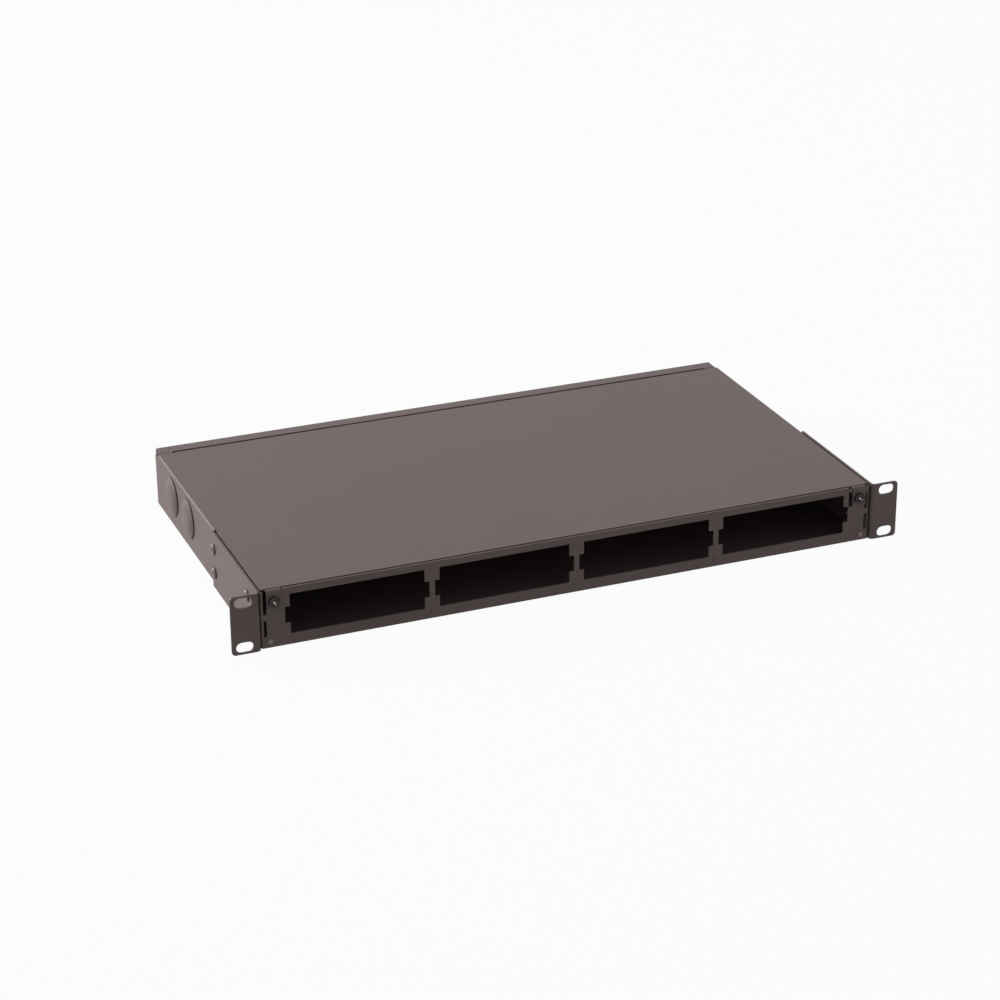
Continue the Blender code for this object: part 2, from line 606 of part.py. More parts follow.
def knockouts(word, side):
    """Half-sheared round slugs that fill the cable holes of a cover skirt."""
    coat = powder_coat(word + "_knockout_coat")
    radius = KNOCKOUT_DIAMETER / 2
    profile = [(0, 0), (radius, 0), (radius, BODY_SHEET - KNOCKOUT_EDGE),
               (radius - KNOCKOUT_EDGE, BODY_SHEET), (0, BODY_SHEET)]
    for place, y in zip(("rear", "front"), KNOCKOUT_Y):
        shape = bmesh.new()
        turn_profile(shape, profile, (side * (SKIN_INSIDE_X + KNOCKOUT_PROUD), y, KNOCKOUT_CENTRE_Z),
                     (side, 0, 0), ROUND_LARGE)
        put_in_scene(f"{word}_{place}_knockout", shape, coat)


def mounting_bracket(name, side):
    """L of thicker sheet: an ear with two rack slots and a flange along the side."""
    inside = side * BRACKET_INSIDE_X
    outside = side * EAR_SPAN / 2
    low = 0
    high = UNIT_HEIGHT
    corner = EAR_CORNER_RADIUS
    reach = EAR_SPAN / 2 - corner
    rounded = (arc(reach, low + corner, corner, -90, 0, 4)
               + arc(reach, high - corner, corner, 0, 90, 4))
    ear = [(inside, EAR_FACE_Y, low)] + [(side * x, EAR_FACE_Y, z) for x, z in rounded]
    ear.append((inside, EAR_FACE_Y, high))
    flange = [(inside, EAR_FACE_Y, high), (inside, BRACKET_END_Y, high),
              (inside, BRACKET_END_Y, low), (inside, EAR_FACE_Y, low)]
    made = fold_sheet(name, [ear, flange], (0, -1, 0), BRACKET_SHEET, BRACKET_BEND,
                      powder_coat(name + "_coat"))
    tools = bmesh.new()
    for level in (-1, 1):
        extrude(tools, slot(side * RACK_SLOT_SPAN / 2, MIDDLE_Z + level * RACK_SLOT_PITCH / 2,
                            RACK_SLOT_LENGTH, RACK_SLOT_HEIGHT),
                "Y", EAR_FACE_Y - BRACKET_SHEET, EAR_FACE_Y + 2 * BRACKET_SHEET)
    for y, z in BRACKET_SCREW_PLACES:
        extrude(tools, circle(y, z, SCREW_HOLE_RADIUS, ROUND_SMALL), "X",
                inside - side * BRACKET_SHEET, inside + side * 2 * BRACKET_SHEET)
    cut(made, tools)


def screw_profile(head_height, shank_length):
    """Low domed head above the seat at height 0, plain shank below."""
    head = SCREW_HEAD_DIAMETER / 2
    shank = SCREW_DIAMETER / 2
    chamfer = SCREW_TIP_CHAMFER
    return [(0, -shank_length), (shank - chamfer, -shank_length), (shank, chamfer - shank_length),
            (shank, 0), (head, 0), (head, HEAD_RIM_SHARE * head_height),
            (HEAD_SHOULDER_RADIUS_SHARE * head, HEAD_SHOULDER_SHARE * head_height),
            (HEAD_TOP_RADIUS_SHARE * head, head_height), (0, head_height)]


def cross_recess(tools, place, axis, outward, head_height):
    """Two crossed slots sunk into a screw head."""
    long = SCREW_RECESS_SPAN / 2
    wide = SCREW_RECESS_WIDTH / 2
    arms = [(long, -wide), (long, wide), (wide, wide), (wide, long), (-wide, long), (-wide, wide),
            (-long, wide), (-long, -wide), (-wide, -wide), (-wide, -long), (wide, -long),
            (wide, -wide)]
    u, v, along = place
    outline = [(u + du, v + dv) for du, dv in arms]
    bottom = along + outward * (head_height - SCREW_RECESS_DEPTH)
    extrude(tools, outline, axis, bottom, bottom + outward * 3 * SCREW_RECESS_DEPTH)


def bracket_screws(word, side):
    """Four low-head screws through a bracket, a panel wing and a tray wall."""
    seat = side * (BRACKET_OUTSIDE_X + FIT)
    shank = BRACKET_OUTSIDE_X + FIT - (TRAY_INSIDE_X - FIT - NUT_BODY_HEIGHT) + SCREW_TIP
    oxide = black_screw(word + "_bracket_screw_oxide")
    for place, (y, z) in zip(CORNERS, BRACKET_SCREW_PLACES):
        shape = bmesh.new()
        turn_profile(shape, screw_profile(SCREW_HEAD_HEIGHT, shank), (seat, y, z),
                     (side, 0, 0), ROUND_HEAD)
        made = put_in_scene(f"{word}_bracket_screw_{place}", shape, oxide)
        tools = bmesh.new()
        cross_recess(tools, (y, z, seat), "X", side, SCREW_HEAD_HEIGHT)
        cut(made, tools)


def clinch_nut_profile():
    """Round body inside, pilot in the sheet, threaded bore as a plain hole."""
    bore = SCREW_DIAMETER / 2 + SCREW_FIT
    body = NUT_BODY_DIAMETER / 2
    pilot = NUT_PILOT_DIAMETER / 2
    chamfer = NUT_CHAMFER
    outer = NUT_PILOT_SETBACK - BODY_SHEET - FIT
    return [(bore, outer), (pilot, outer), (pilot, 0),
            (body, 0), (body, NUT_BODY_HEIGHT - chamfer), (body - chamfer, NUT_BODY_HEIGHT),
            (bore, NUT_BODY_HEIGHT)]


def clinch_nuts(word, side):
    """Four nuts pressed into a tray wall from the inside, and one behind the panel."""
    zinc = plated_steel(word + "_clinch_nut_zinc")
    for place, (y, z) in zip(CORNERS, BRACKET_SCREW_PLACES):
        shape = bmesh.new()
        turn_profile(shape, clinch_nut_profile(), (side * (TRAY_INSIDE_X - FIT), y, z),
                     (-side, 0, 0), ROUND_SMALL)
        put_in_scene(f"{word}_clinch_nut_{place}", shape, zinc)
    shape = bmesh.new()
    turn_profile(shape, clinch_nut_profile(),
                 (side * TAB_CENTRE_X, PANEL_BACK_Y + FIT, COVER_SCREW_Z), (0, 1, 0), ROUND_SMALL)
    put_in_scene(word + "_cover_screw_nut", shape, zinc)


def cover_screw(name, side):
    """One screw that holds a cover tab against the panel."""
    place = (side * TAB_CENTRE_X, HEAD_BACK_Y, COVER_SCREW_Z)
    shank = PANEL_BACK_Y + FIT + NUT_BODY_HEIGHT + SCREW_TIP - HEAD_BACK_Y
    shape = bmesh.new()
    turn_profile(shape, screw_profile(COVER_HEAD_HEIGHT, shank), place, (0, -1, 0), ROUND_HEAD)
    made = put_in_scene(name, shape, black_screw(name + "_oxide"))
    tools = bmesh.new()
    cross_recess(tools, (place[0], place[2], place[1]), "Y", -1, COVER_HEAD_HEIGHT)
    cut(made, tools)
    cutter = made.modifiers["cutouts"].object
    move_origin(made, place)
    move_origin(cutter, place)


def panel_rivets():
    """Flush rivets that tie the panel to the tray's front lip."""
    coat = powder_coat("rivet_coat")
    head = PANEL_RIVET_HEAD / 2
    shank = PANEL_RIVET_DIAMETER / 2
    length = 2 * BODY_SHEET + 3 * FIT
    tail = PANEL_RIVET_TAIL
    profile = [(0, -length - tail), (0.8 * head, -length - tail), (head, -length - tail / 2),
               (head, -length), (shank, -length), (shank, 0), (head, 0),
               (0.7 * head, PANEL_RIVET_HEAD_HEIGHT), (0, PANEL_RIVET_HEAD_HEIGHT)]
    for number, x in enumerate(sorted(PANEL_RIVETS_X), 1):
        shape = bmesh.new()
        turn_profile(shape, profile, (x, PANEL_FACE_Y - FIT, PANEL_RIVET_Z), (0, -1, 0), ROUND_SMALL)
        put_in_scene(f"panel_rivet_{number}", shape, coat)


def spool_rivet_places(side):
    """Where a spool is pinned to the floor: two points on its foot ring."""
    return [(side * SPOOL_CENTRE_X + turn * SNAP_RIVET_RADIUS_PLACE, SPOOL_Y) for turn in (-1, 1)]


def fiber_spool(name, side):
    """Slack spool: foot ring, hub wall and four fingers that keep the fibre on the hub."""
    hub = SPOOL_HUB_DIAMETER / 2
    inner = hub - SPOOL_WALL
    foot = inner - SPOOL_FOOT_WIDTH
    rim = SPOOL_FLANGE_DIAMETER / 2
    wall = SPOOL_WALL
    height = SPOOL_HEIGHT
    profile = [(foot, 0), (rim, 0), (rim, SPOOL_RIM_HEIGHT), (rim - wall, SPOOL_RIM_HEIGHT),
               (rim - wall, wall), (hub, wall), (hub, height - wall), (rim, height - wall),
               (rim, height), (inner, height), (inner, wall), (foot, wall)]
    shape = bmesh.new()
    centre = (side * SPOOL_CENTRE_X, SPOOL_Y, TRAY_FLOOR_Z)
    turn_profile(shape, profile, centre, (0, 0, 1), ROUND_LARGE)
    made = put_in_scene(name, shape, dark_plastic(name + "_nylon"))
    tools = bmesh.new()
    half = SPOOL_FINGER_WIDTH / 2
    low = TRAY_FLOOR_Z + height - 1.5 * wall
    clear = rim + wall
    gap_half = math.asin(half / hub)
    for turn in range(SPOOL_FINGER_COUNT):
        middle = 2 * math.pi * (turn + 0.5) / SPOOL_FINGER_COUNT
        spread = math.pi / SPOOL_FINGER_COUNT - gap_half
        points = []
        for radius, way in ((hub + wall / 2, 1), (clear, -1)):
            for step in range(5):
                angle = middle + way * spread * (step / 2 - 1)
                points.append((centre[0] + radius * math.cos(angle),
                               centre[1] + radius * math.sin(angle)))
        extrude(tools, points, "Z", low, low + 3 * wall)
    for x, y in spool_rivet_places(side):
        extrude(tools, circle(x, y, SNAP_HOLE_RADIUS, ROUND_SMALL), "Z",
                TRAY_FLOOR_Z - wall, TRAY_FLOOR_Z + 2 * wall)
    cut(made, tools)


def foot_rivets(name, places, foot, material):
    """Low-head rivets pushed down through a foot and the tray floor."""
    seat_z = TRAY_FLOOR_Z + foot + FIT
    shank = SNAP_RIVET_DIAMETER / 2
    head = SNAP_RIVET_HEAD / 2
    profile = [(0, FIT - seat_z), (shank, FIT - seat_z), (shank, 0), (head, 0),
               (head, 0.4 * SNAP_RIVET_HEAD_HEIGHT), (0.7 * head, SNAP_RIVET_HEAD_HEIGHT),
               (0, SNAP_RIVET_HEAD_HEIGHT)]
    for number, (x, y) in enumerate(places, 1):
        shape = bmesh.new()
        turn_profile(shape, profile, (x, y, seat_z), (0, 0, 1), ROUND_SMALL)
        put_in_scene(f"{name}_{number}", shape, material)


def cable_clips():
    """Stick-on saddle clips in a row between the bays and the spools."""
    nylon = dark_plastic("clip_nylon")
    y = REAR_Y - CLIP_REAR_OFFSET
    outer = CLIP_LOOP_DIAMETER / 2
    inner = outer - CLIP_LOOP_WALL
    centre_z = TRAY_FLOOR_Z + CLIP_BASE_HEIGHT + outer - CLIP_LOOP_WALL / 2
    opening = math.degrees(math.asin(CLIP_MOUTH / 2 / inner))
    foot = math.degrees(math.asin((centre_z - TRAY_FLOOR_Z - CLIP_BASE_HEIGHT) / outer))
    for number, x in enumerate(BAY_CENTRES_X, 1):
        half = CLIP_BASE / 2
        base_top = TRAY_FLOOR_Z + CLIP_BASE_HEIGHT
        outline = [(x - half, TRAY_FLOOR_Z), (x + half, TRAY_FLOOR_Z), (x + half, base_top)]
        outline += arc(x, centre_z, outer, -foot, 90 - opening, 8)
        outline += arc(x, centre_z, inner, 90 - opening, -270 + opening, 16)
        outline += arc(x, centre_z, outer, 90 + opening, 180 + foot, 8)
        outline.append((x - half, base_top))
        shape = bmesh.new()
        extrude(shape, outline, "Y", y - CLIP_WIDTH / 2, y + CLIP_WIDTH / 2)
        put_in_scene(f"cable_clip_{number}", shape, nylon)


def tie_rivet_places(side):
    """Where a tie bracket's foot is riveted down."""
    y = REAR_Y - TIE_BRACKET_REAR_OFFSET
    x = side * TIE_BRACKET_CENTRE_X - side * TIE_BRACKET_FOOT / 2
    return [(x, y - TIE_RIVET_PITCH / 2), (x, y + TIE_RIVET_PITCH / 2)]


def tie_bracket(name, side):
    """Small L bracket with slots, where incoming cables are tied down."""
    x = side * TIE_BRACKET_CENTRE_X
    foot_x = x - side * TIE_BRACKET_FOOT
    middle = REAR_Y - TIE_BRACKET_REAR_OFFSET
    front = middle - TIE_BRACKET_LENGTH / 2
    back = middle + TIE_BRACKET_LENGTH / 2
    low = TRAY_FLOOR_Z
    high = TRAY_FLOOR_Z + TIE_BRACKET_HEIGHT
    foot = [(x, front, low), (x, back, low), (foot_x, back, low), (foot_x, front, low)]
    post = [(x, front, low), (x, front, high), (x, back, high), (x, back, low)]
    made = fold_sheet(name, [foot, post], (0, 0, -1), BODY_SHEET, BODY_BEND,
                      plated_steel(name + "_zinc"))
    tools = bmesh.new()
    slot_z = TRAY_FLOOR_Z + TIE_BRACKET_HEIGHT / 2 + BODY_SHEET
    for number in range(TIE_SLOT_COUNT):
        y = middle + (number - (TIE_SLOT_COUNT - 1) / 2) * TIE_SLOT_PITCH
        extrude(tools, rectangle(y - TIE_SLOT_WIDTH / 2, y + TIE_SLOT_WIDTH / 2,
                                 slot_z - TIE_SLOT_HEIGHT / 2, slot_z + TIE_SLOT_HEIGHT / 2),
                "X", x - 3 * BODY_SHEET, x + 3 * BODY_SHEET)
    for hole_x, hole_y in tie_rivet_places(side):
        extrude(tools, circle(hole_x, hole_y, SNAP_HOLE_RADIUS, ROUND_SMALL), "Z",
                low - BODY_SHEET, low + 2 * BODY_SHEET)
    cut(made, tools)


def ground_stud():
    """Stud pressed into the floor, with its toothed washer and nut."""
    x, y = STUD_CENTRE_X, REAR_Y - STUD_REAR_OFFSET
    radius = STUD_DIAMETER / 2
    chamfer = STUD_CHAMFER
    shape = bmesh.new()
    profile = [(0, FIT), (radius, FIT), (radius, STUD_LENGTH - chamfer),
               (radius - chamfer, STUD_LENGTH), (0, STUD_LENGTH)]
    turn_profile(shape, profile, (x, y, 0), (0, 0, 1), ROUND_SMALL)
    put_in_scene("ground_stud", shape, plated_steel("stud_zinc"))
    bore = radius + SCREW_FIT
    washer = bmesh.new()
    seat = TRAY_FLOOR_Z
    rim = WASHER_DIAMETER / 2
    turn_profile(washer, [(bore, 0), (rim, 0), (rim, WASHER_HEIGHT), (bore, WASHER_HEIGHT)],
                 (x, y, seat), (0, 0, 1), ROUND_HEAD)
    put_in_scene("ground_washer", washer, plated_steel("washer_zinc"))
    nut = bmesh.new()
    low = seat + WASHER_HEIGHT + FIT
    corner = HEX_NUT_ACROSS_FLATS / 2 / math.cos(math.pi / 6)
    extrude(nut, circle(x, y, corner, 6), "Z", low, low + HEX_NUT_HEIGHT)
    made = put_in_scene("ground_nut", nut, plated_steel("nut_zinc"))
    tools = bmesh.new()
    extrude(tools, circle(x, y, bore, ROUND_SMALL), "Z", low - FIT, low + 2 * HEX_NUT_HEIGHT)
    cut(made, tools)


def rear_grommet(name, side):
    """Rubber grommet with a thin pierced membrane, in a hole of the rear wall."""
    neck = GROMMET_HOLE / 2
    flange = GROMMET_FLANGE / 2
    bore = GROMMET_BORE / 2
    lip = GROMMET_LIP - FIT
    inner_face = BODY_SHEET + FIT
    hole = GROMMET_CABLE_HOLE / 2
    profile = [(hole, 0), (bore, 0), (bore, FIT + lip), (flange - 0.6 * lip, FIT + lip),
               (flange, FIT + 0.5 * lip), (flange, FIT), (neck, FIT), (neck, -inner_face),
               (flange, -inner_face), (flange - 0.6 * lip, -inner_face - lip),
               (bore, -inner_face - lip), (bore, -GROMMET_MEMBRANE), (hole, -GROMMET_MEMBRANE)]
    shape = bmesh.new()
    turn_profile(shape, profile, (side * GROMMET_CENTRE_X, REAR_Y, GROMMET_CENTRE_Z),
                 (0, 1, 0), ROUND_LARGE)
    put_in_scene(name, shape, soft_rubber(name + "_rubber"))


clear_scene()
base_tray()
front_panel()
top_cover()
panel_rivets()
ground_stud()
cable_clips()
for word, hand in (("left", -1), ("right", 1)):
    mounting_bracket(word + "_mounting_bracket", hand)
    bracket_screws(word, hand)
    clinch_nuts(word, hand)
    cover_screw(word + "_cover_screw", hand)
    knockouts(word, hand)
    fiber_spool(word + "_fiber_spool", hand)
    foot_rivets(word + "_spool_rivet", spool_rivet_places(hand), SPOOL_WALL,
                dark_plastic(word + "_rivet_nylon"))
    tie_bracket(word + "_tie_bracket", hand)
    foot_rivets(word + "_tie_rivet", tie_rivet_places(hand), BODY_SHEET,
                plated_steel(word + "_tie_rivet_zinc"))
    rear_grommet(word + "_rear_grommet", hand)
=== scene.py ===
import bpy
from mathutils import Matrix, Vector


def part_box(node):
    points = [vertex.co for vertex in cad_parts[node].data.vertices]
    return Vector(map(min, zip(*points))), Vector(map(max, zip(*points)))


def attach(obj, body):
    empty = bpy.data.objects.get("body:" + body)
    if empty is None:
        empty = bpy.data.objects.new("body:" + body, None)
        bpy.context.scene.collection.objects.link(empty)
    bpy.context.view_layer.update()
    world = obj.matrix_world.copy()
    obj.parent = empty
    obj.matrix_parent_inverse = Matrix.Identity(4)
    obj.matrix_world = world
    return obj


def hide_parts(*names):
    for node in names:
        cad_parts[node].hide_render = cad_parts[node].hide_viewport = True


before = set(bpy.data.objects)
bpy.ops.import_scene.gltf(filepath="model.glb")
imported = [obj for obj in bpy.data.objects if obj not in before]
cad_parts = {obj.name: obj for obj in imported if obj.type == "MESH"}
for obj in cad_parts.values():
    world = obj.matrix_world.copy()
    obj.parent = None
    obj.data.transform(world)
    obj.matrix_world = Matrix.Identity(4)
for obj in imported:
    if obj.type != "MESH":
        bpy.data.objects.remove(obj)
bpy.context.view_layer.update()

import math

import bpy
from mathutils import Matrix, Quaternion, Vector

# The tray. One sheet of 1.2 mm steel, cut and folded into a floor, two side walls, a low front
# lip, a rear wall and a strip that is folded forward over the rear. It is sprayed with a satin
# polyester powder and baked, which rounds every cut edge a little.


def linear(sheet_hex):
    """A colour as written on a paint card, in the linear light that shaders work in."""
    channels = [int(sheet_hex[place:place + 2], 16) / 255 for place in (1, 3, 5)]
    return (*[value / 12.92 if value <= 0.04045 else ((value + 0.055) / 1.055) ** 2.4
              for value in channels], 1.0)


def add_node(tree, kind, settings=None, inputs=None):
    """Add one shader node with its settings, its values and its links."""
    node = tree.nodes.new(kind)
    for name, value in (settings or {}).items():
        setattr(node, name, value)
    for name, value in (inputs or {}).items():
        if isinstance(value, bpy.types.NodeSocket):
            tree.links.new(value, node.inputs[name])
        else:
            node.inputs[name].default_value = value
    return node


def satin_powder_coat():
    """Polyester powder coat on steel, baked: a faint orange peel, a satin sheen, and a tone
    that drifts slightly where the film is thicker."""
    peel_size = 0.0011
    grain_size = 0.00035
    drift_size = 0.090
    paint = bpy.data.materials.new("satin_powder_coat")
    paint.use_nodes = True
    tree = paint.node_tree
    shader = tree.nodes["Principled BSDF"]
    place = add_node(tree, "ShaderNodeTexCoord").outputs["Object"]
    drift = add_node(tree, "ShaderNodeTexNoise", None,
                     {"Vector": place, "Scale": 1 / drift_size, "Detail": 2.0, "Roughness": 0.45})
    tone = add_node(tree, "ShaderNodeMix", {"data_type": "RGBA"},
                    {0: drift.outputs["Fac"], 6: linear("#5E4E4D"), 7: linear("#665553")})
    grain = add_node(tree, "ShaderNodeTexNoise", None,
                     {"Vector": place, "Scale": 1 / grain_size, "Detail": 1.0})
    fleck = add_node(tree, "ShaderNodeMapRange", None,
                     {"Value": grain.outputs["Fac"], "From Min": 0.30, "From Max": 0.70,
                      "To Min": 0.97, "To Max": 1.03})
    speckled = add_node(tree, "ShaderNodeVectorMath", {"operation": "SCALE"},
                        {0: tone.outputs[2], "Scale": fleck.outputs[0]})
    tree.links.new(speckled.outputs[0], shader.inputs["Base Color"])
    peel = add_node(tree, "ShaderNodeTexNoise", None,
                    {"Vector": place, "Scale": 1 / peel_size, "Detail": 2.0, "Roughness": 0.55})
    gloss = add_node(tree, "ShaderNodeMapRange", None,
                     {"Value": peel.outputs["Fac"], "From Min": 0.30, "From Max": 0.70,
                      "To Min": 0.46, "To Max": 0.56})
    tree.links.new(gloss.outputs[0], shader.inputs["Roughness"])
    bump = add_node(tree, "ShaderNodeBump", None,
                    {"Height": peel.outputs["Fac"], "Strength": 0.22, "Distance": 0.00005})
    tree.links.new(bump.outputs[0], shader.inputs["Normal"])
    shader.inputs["IOR"].default_value = 1.5
    return paint


def block(start, end):
    """A plain block between two opposite corners."""
    bpy.ops.object.select_all(action="DESELECT")
    bpy.ops.mesh.primitive_cube_add(size=1, location=[(a + b) / 2 for a, b in zip(start, end)])
    made = bpy.context.object
    made.scale = [abs(b - a) for a, b in zip(start, end)]
    bpy.ops.object.transform_apply(location=True, rotation=True, scale=True)
    return made


def take_off(piece, tool):
    """Cut a piece with a solid tool, which is then gone."""
    bpy.ops.object.select_all(action="DESELECT")
    piece.select_set(True)
    bpy.context.view_layer.objects.active = piece
    bpy.ops.object.modifier_add(type="BOOLEAN")
    cut = piece.modifiers[-1]
    cut.object = tool
    cut.solver = "EXACT"
    bpy.ops.object.modifier_apply(modifier=cut.name)
    bpy.data.objects.remove(tool)


def dressed(node, name, finish, soft_edge, cuts=()):
    """A finished piece that stands for a folded or moulded node: its loose triangles merged,
    its flats whole again, and its sharp edges rounded by the coating or the mould. Each cut is
    a block, low corner to high corner, that is taken off first."""
    piece = bpy.data.objects.new(name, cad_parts[node].data.copy())
    bpy.context.scene.collection.objects.link(piece)
    bpy.ops.object.select_all(action="DESELECT")
    piece.select_set(True)
    bpy.context.view_layer.objects.active = piece
    bpy.ops.object.mode_set(mode="EDIT")
    bpy.ops.mesh.select_all(action="SELECT")
    bpy.ops.mesh.remove_doubles(threshold=0.00001)
    bpy.ops.mesh.dissolve_limited(angle_limit=math.radians(0.5))
    bpy.ops.object.mode_set(mode="OBJECT")
    for start, end in cuts:
        take_off(piece, block(start, end))
    bpy.ops.object.modifier_add(type="BEVEL")
    rounding = piece.modifiers[-1]
    rounding.width = soft_edge
    rounding.segments = 2
    rounding.limit_method = "ANGLE"
    rounding.angle_limit = math.radians(50)
    bpy.ops.object.modifier_apply(modifier=rounding.name)
    bpy.ops.object.shade_smooth_by_angle(angle=math.radians(50))
    bpy.ops.object.modifier_add(type="WEIGHTED_NORMAL")
    flats = piece.modifiers[-1]
    flats.keep_sharp = True
    bpy.ops.object.modifier_apply(modifier=flats.name)
    piece.data.materials.clear()
    piece.data.materials.append(finish)
    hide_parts(node)
    return piece


coat = satin_powder_coat()
coat_edge = 0.00025
tray = dressed("base_tray", "folded_tray", coat, coat_edge)
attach(tray, "root")

# The rear grommets. Soft black rubber, moulded with a groove that snaps into the hole of the
# rear wall, and a thin pierced membrane that closes round the incoming cable.


def surface(name, dark_hex, light_hex, mottle_size, roughness, bump_depth, metallic=0.0):
    """A one-colour finish with fine mottling: its colour, gloss and relief vary together."""
    made = bpy.data.materials.new(name)
    made.use_nodes = True
    tree = made.node_tree
    shader = tree.nodes["Principled BSDF"]
    place = add_node(tree, "ShaderNodeTexCoord").outputs["Object"]
    mottle = add_node(tree, "ShaderNodeTexNoise", None,
                      {"Vector": place, "Scale": 1 / mottle_size, "Detail": 3.0})
    tone = add_node(tree, "ShaderNodeMix", {"data_type": "RGBA"},
                    {0: mottle.outputs["Fac"], 6: linear(dark_hex), 7: linear(light_hex)})
    tree.links.new(tone.outputs[2], shader.inputs["Base Color"])
    gloss = add_node(tree, "ShaderNodeMapRange", None,
                     {"Value": mottle.outputs["Fac"], "From Min": 0.25, "From Max": 0.75,
                      "To Min": roughness - 0.06, "To Max": roughness + 0.06})
    tree.links.new(gloss.outputs[0], shader.inputs["Roughness"])
    bump = add_node(tree, "ShaderNodeBump", None,
                    {"Height": mottle.outputs["Fac"], "Strength": 0.4, "Distance": bump_depth})
    tree.links.new(bump.outputs[0], shader.inputs["Normal"])
    shader.inputs["Metallic"].default_value = metallic
    return made


def turned(name, rings, sides, finish, bored=False):
    """Turn a piece about +Z: a circle is extruded from ring to ring, each a radius and a height.
    A bored piece is a tube whose last ring joins its first."""
    bpy.ops.object.select_all(action="DESELECT")
    first_radius, first_height = rings[0]
    bpy.ops.mesh.primitive_circle_add(vertices=sides, radius=first_radius,
                                      fill_type="NOTHING" if bored else "NGON",
                                      location=(0, 0, first_height))
    bpy.ops.object.mode_set(mode="EDIT")
    bpy.ops.mesh.select_all(action="SELECT")
    for (before, low), (after, high) in zip(rings, rings[1:]):
        bpy.ops.mesh.extrude_region_move(TRANSFORM_OT_translate={"value": (0, 0, high - low)})
        bpy.ops.transform.resize(value=(after / before, after / before, 1),
                                 center_override=(0, 0, high))
    if bored:
        bpy.ops.mesh.select_all(action="DESELECT")
        bpy.ops.mesh.select_non_manifold()
        bpy.ops.mesh.bridge_edge_loops()
    bpy.ops.mesh.select_all(action="SELECT")
    bpy.ops.mesh.normals_make_consistent(inside=False)
    bpy.ops.object.mode_set(mode="OBJECT")
    bpy.ops.object.transform_apply(location=True, rotation=True, scale=True)
    bpy.ops.object.shade_smooth_by_angle(angle=math.radians(40))
    piece = bpy.context.object
    piece.name = name
    piece.data.materials.append(finish)
    return piece


def stood(model, name, place, direction, turn=0.0):
    """A copy of a modelled piece with its own mesh, its axis along a direction."""
    mesh = model.data.copy()
    aim = Vector((0, 0, 1)).rotation_difference(Vector(direction)).to_matrix().to_4x4()
    mesh.transform(Matrix.Translation(place) @ aim @ Matrix.Rotation(turn, 4, "Z"))
    piece = bpy.data.objects.new(name, mesh)
    bpy.context.scene.collection.objects.link(piece)
    return piece


def middle(node):
    """The centre of a node's box."""
    low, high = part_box(node)
    return (low + high) / 2


rubber = surface("moulded_epdm_rubber", "#151414", "#1C1B1B", 0.0020, 0.72, 0.00004)
grommet_low, grommet_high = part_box("left_rear_grommet")
flange = (grommet_high.z - grommet_low.z) / 2
rear_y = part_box("base_tray")[1].y
inward = rear_y - grommet_low.y
outward = grommet_high.y - rear_y
neck = 0.0130
bore = 0.0090
cable_hole = 0.0030
membrane = 0.0006
rim = 0.0012
rim_side = 0.0010
mouth = 0.0006
fillet = 0.0008
wall_gap = 0.0003
wall_depth = 0.0015
grommet_rings = [(cable_hole, -membrane), (cable_hole, 0), (bore - fillet, 0), (bore, mouth),
                 (bore + mouth, outward), (flange - rim, outward),
                 (flange - wall_gap, outward - 0.4 * rim_side), (flange, outward - rim_side),
                 (flange, wall_gap), (neck, wall_gap), (neck, -wall_depth), (flange, -wall_depth),
                 (flange, -inward + rim_side), (flange - rim, -inward), (bore + mouth, -inward),
                 (bore, -inward + mouth), (bore, -membrane - fillet), (bore - fillet, -membrane)]
grommet_model = turned("grommet_model", grommet_rings, 72, rubber, bored=True)
for side in ("left", "right"):
    centre = middle(f"{side}_rear_grommet")
    grommet = stood(grommet_model, f"{side}_cable_grommet", (centre.x, rear_y, centre.z), (0, 1, 0))
    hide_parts(f"{side}_rear_grommet")
    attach(grommet, "root")
bpy.data.objects.remove(grommet_model)

# The clinch nuts. Turned steel, bright zinc plated, pressed into the side walls from the inside
# and into the back of the panel, so that every screw of the casing finds a thread.
zinc = surface("bright_zinc_plating", "#B9B5AA", "#D2CEC4", 0.0030, 0.27, 0.00001, metallic=1.0)
corners = ("front_lower", "front_upper", "rear_lower", "rear_upper")
nut_low, nut_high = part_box("left_clinch_nut_front_lower")
nut_radius = (nut_high.z - nut_low.z) / 2
nut_length = nut_high.x - nut_low.x
nut_body = 0.0026
nut_bore = 0.00215
pilot = 0.0028
pilot_length = nut_length - nut_body
nut_foot = 0.0001
nut_crown = 0.0003
nut_chamfer = 0.0004
nut_rings = [(nut_bore, -pilot_length), (pilot, -pilot_length), (pilot, 0),
             (nut_radius - nut_foot, 0), (nut_radius, nut_foot), (nut_radius, nut_body - nut_chamfer),
             (nut_radius - nut_crown, nut_body), (nut_bore + nut_chamfer, nut_body),
             (nut_bore, nut_body - nut_chamfer)]
nut_model = turned("nut_model", nut_rings, 32, zinc, bored=True)
for side, sign in (("left", -1), ("right", 1)):
    for corner in corners:
        node = f"{side}_clinch_nut_{corner}"
        low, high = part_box(node)
        seat = Vector((high.x - pilot_length if sign > 0 else low.x + pilot_length,
                       middle(node).y, middle(node).z))
        nut = stood(nut_model, f"{side}_{corner}_nut", seat, (-sign, 0, 0))
        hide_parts(node)
        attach(nut, "root")
    node = f"{side}_cover_screw_nut"
    low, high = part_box(node)
    nut = stood(nut_model, f"{side}_panel_nut",
                (middle(node).x, high.y - nut_body, middle(node).z), (0, 1, 0))
    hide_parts(node)
    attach(nut, "root")
bpy.data.objects.remove(nut_model)

# The ground stud. A zinc plated threaded stud pressed through the floor near the rear wall, with
# a toothed washer and a hexagon nut, where the earth wire of the rack is fixed.


